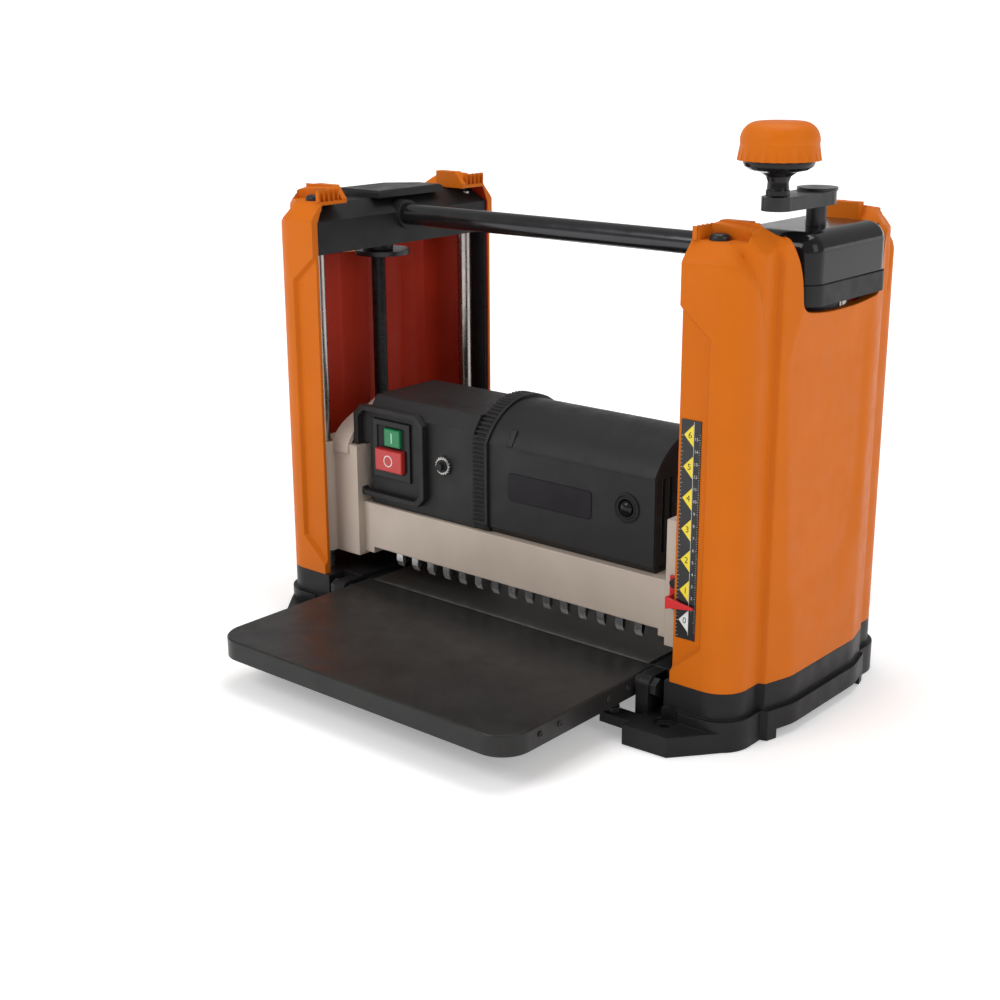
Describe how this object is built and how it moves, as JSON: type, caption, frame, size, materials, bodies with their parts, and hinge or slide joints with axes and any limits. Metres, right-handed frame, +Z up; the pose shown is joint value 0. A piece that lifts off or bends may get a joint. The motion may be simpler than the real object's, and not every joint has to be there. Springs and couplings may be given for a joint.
{
  "type": "thickness planer",
  "caption": "Portable bench thickness planer with folding tables, a crank-raised cutter carriage, a motor on top and tall side covers.",
  "frame": {"origin": "on the ground under the centre of the bed, in the middle of the machine's width and length", "axes": "+X to the machine's right, the crank side; +Y the way the stock feeds, away from the switch side; +Z up"},
  "size_m": [0.5505, 0.58, 0.49],
  "materials": {
    "orange_plastic": "moulded ABS, satin with a fine grain",
    "black_casting": "die cast, satin black powder coat",
    "black_table": "die cast, ground flat, smooth black coat",
    "stainless": "polished stainless sheet",
    "black_steel": "black oxide",
    "bright_steel": "ground steel",
    "core_steel": "laminated steel and copper",
    "dark_bar": "dark polished steel tube",
    "chrome": "hard chrome, ground",
    "gloss_black": "gloss black moulding",
    "black_plastic": "matt black moulding",
    "motor_plastic": "glass-filled nylon, fine texture",
    "grey_casting": "die cast, warm grey paint",
    "bronze": "sintered bronze",
    "alloy": "machined",
    "rubber": "ribbed belt",
    "rubber_roller": "vulcanised on a steel shaft",
    "red_plastic": "moulded",
    "green_button": "moulded, marked with a bar",
    "red_button": "moulded, marked with a ring",
    "scale_print": "printed film"
  },
  "bodies": {
    "base": {"right_base_casting": "black_casting", "left_base_casting": "black_casting", "bed_casting": "black_casting", "bed_wear_plate": "stainless", "table_bolts": "black_steel", "guide_columns": "chrome", "right_top_bracket": "black_casting", "left_top_bracket": "black_casting", "screw_bearings": "black_steel", "crossbar": "dark_bar", "right_cover": "orange_plastic", "left_cover": "orange_plastic", "cover_bolts": "black_steel", "rear_uprights": "black_steel", "gear_dome": "gloss_black", "dome_skirt": "black_plastic", "depth_scale": "scale_print", "lift_chain": "black_steel"},
    "infeed_table": {"infeed_table": "black_table"},
    "outfeed_table": {"outfeed_table": "black_table"},
    "left_screw": {"left_lead_screw": "black_steel"},
    "right_screw": {"right_lead_screw": "black_steel", "crank_arm": "black_steel"},
    "knob": {"knob_stem": "gloss_black", "knob_cap": "orange_plastic"},
    "carriage": {"carriage_casting": "grey_casting", "column_bushes": "bronze", "screw_nuts": "bronze", "dust_hood": "black_plastic", "drive_belt": "rubber", "ball_bearings": "bright_steel", "roller_blocks": "bronze", "roller_springs": "bright_steel", "gearbox_cover": "grey_casting", "pawl_rod": "bright_steel", "motor_housing": "motor_plastic", "motor_grille": "motor_plastic", "motor_band": "motor_plastic", "switch_housing": "motor_plastic", "switch_bezel": "motor_plastic", "switch_body": "black_plastic", "circuit_breaker": "black_plastic", "breaker_nut": "chrome", "brush_cap": "black_plastic", "stator": "core_steel", "depth_pointer": "red_plastic", "pointer_screws": "black_steel", "cable_gland": "black_plastic"},
    "cutter": {"cutter_block": "bright_steel", "cutter_knives": "bright_steel", "gib_bars": "bright_steel", "cutter_pulley": "alloy"},
    "infeed_roller": {"infeed_roller": "rubber_roller"},
    "outfeed_roller": {"outfeed_roller": "rubber_roller"},
    "rotor": {"armature": "core_steel", "motor_fan": "black_plastic"},
    "pawls": {"anti_kickback_pawls": "bright_steel"},
    "start_button": {"start_button": "green_button"},
    "stop_button": {"stop_button": "red_button"},
    "breaker_button": {"breaker_button": "black_plastic"}
  },
  "joints": [
    {"name": "height_slide", "type": "slide", "parent": "base", "child": "carriage", "axis": [0, 0, 1], "range_m": [-0.0095, 0.1375]},
    {"name": "left_screw_turn", "type": "hinge", "parent": "base", "child": "left_screw", "pos_m": [-0.242, 0, 0.2], "axis": [0, 0, 1], "range_deg": [-24760, 1720]},
    {"name": "crank_turn", "type": "hinge", "parent": "base", "child": "right_screw", "pos_m": [0.242, 0, 0.2], "axis": [0, 0, 1], "range_deg": [-24760, 1720]},
    {"name": "knob_spin", "type": "hinge", "parent": "right_screw", "child": "knob", "pos_m": [0.242, -0.06, 0.44], "axis": [0, 0, 1], "continuous": true},
    {"name": "infeed_fold", "type": "hinge", "parent": "base", "child": "infeed_table", "pos_m": [0, -0.1217, 0.039], "axis": [-1, 0, 0], "range_deg": [0, 90]},
    {"name": "outfeed_fold", "type": "hinge", "parent": "base", "child": "outfeed_table", "pos_m": [0, 0.1217, 0.039], "axis": [1, 0, 0], "range_deg": [0, 90]},
    {"name": "cutter_spin", "type": "hinge", "parent": "carriage", "child": "cutter", "pos_m": [0, 0, 0.0845], "axis": [1, 0, 0], "continuous": true},
    {"name": "motor_spin", "type": "hinge", "parent": "carriage", "child": "rotor", "pos_m": [0, -0.033, 0.175], "axis": [1, 0, 0], "continuous": true},
    {"name": "infeed_roller_spin", "type": "hinge", "parent": "carriage", "child": "infeed_roller", "pos_m": [0, -0.05, 0.0775], "axis": [1, 0, 0], "continuous": true},
    {"name": "outfeed_roller_spin", "type": "hinge", "parent": "carriage", "child": "outfeed_roller", "pos_m": [0, 0.05, 0.0775], "axis": [1, 0, 0], "continuous": true},
    {"name": "pawl_swing", "type": "hinge", "parent": "carriage", "child": "pawls", "pos_m": [0, -0.0815, 0.09], "axis": [1, 0, 0], "range_deg": [0, 28]},
    {"name": "start_press", "type": "slide", "parent": "carriage", "child": "start_button", "axis": [0, 1, 0], "range_m": [0, 0.003], "stiffness_N_per_m": 600},
    {"name": "stop_press", "type": "slide", "parent": "carriage", "child": "stop_button", "axis": [0, 1, 0], "range_m": [0, 0.003], "stiffness_N_per_m": 600},
    {"name": "breaker_press", "type": "slide", "parent": "carriage", "child": "breaker_button", "axis": [0, 1, 0], "range_m": [0, 0.002], "stiffness_N_per_m": 500}
  ],
  "couplings": [
    {"joint": "left_screw_turn", "follows": "height_slide", "rad_per_m": -3141.6},
    {"joint": "crank_turn", "follows": "height_slide", "rad_per_m": -3141.6},
    {"joint": "motor_spin", "follows": "cutter_spin", "ratio": 2},
    {"joint": "infeed_roller_spin", "follows": "cutter_spin", "ratio": -0.0076923},
    {"joint": "outfeed_roller_spin", "follows": "cutter_spin", "ratio": -0.0076923}
  ]
}
